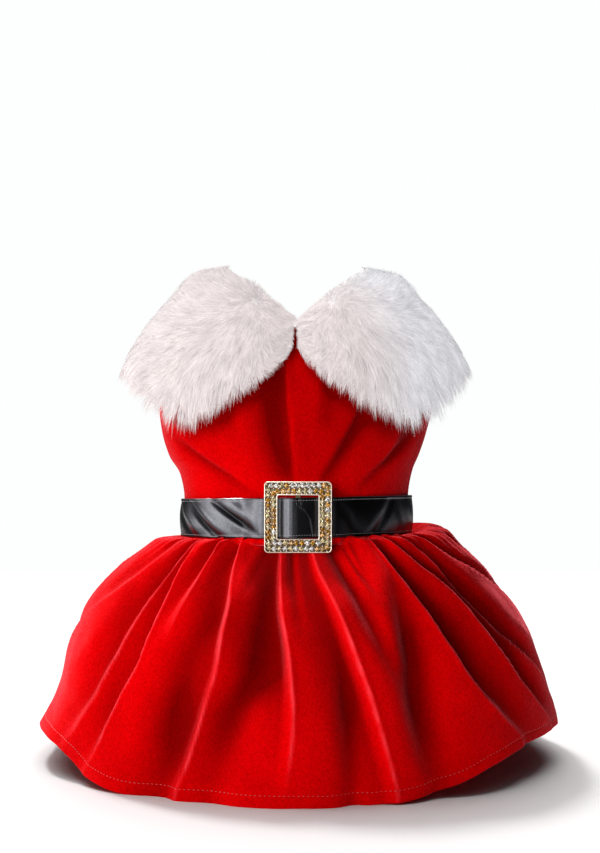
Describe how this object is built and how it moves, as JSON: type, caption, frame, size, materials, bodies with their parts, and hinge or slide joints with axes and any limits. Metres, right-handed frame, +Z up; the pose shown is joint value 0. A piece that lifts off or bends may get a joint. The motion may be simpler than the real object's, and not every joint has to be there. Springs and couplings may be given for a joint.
{
  "type": "dog christmas dress",
  "caption": "Sleeveless velvet holiday dress for a small dog, with a fur collar, a satin belt with a stone-set slide buckle, and a gathered bell skirt.",
  "frame": {"origin": "on the floor, under the middle of the whole garment", "axes": "+X towards the right of the side with the buckle, -Y towards the side with the buckle, +Z up from the hem to the collar"},
  "size_m": [0.339, 0.2916, 0.3198],
  "materials": {
    "red_velvet": "short-pile red velvet, brighter where it is seen edge on",
    "white_fur": "long-pile white imitation fur",
    "black_satin": "glossy black satin ribbon",
    "buckle_metal": "bright pale gold plating set with clear and amber stones"
  },
  "bodies": {
    "root": {"skirt_front": "red_velvet", "skirt_rear": "red_velvet", "bodice_front": "red_velvet", "bodice_rear": "red_velvet", "collar_left": "white_fur", "collar_right": "white_fur", "belt": "black_satin", "buckle": "buckle_metal"}
  },
  "joints": []
}
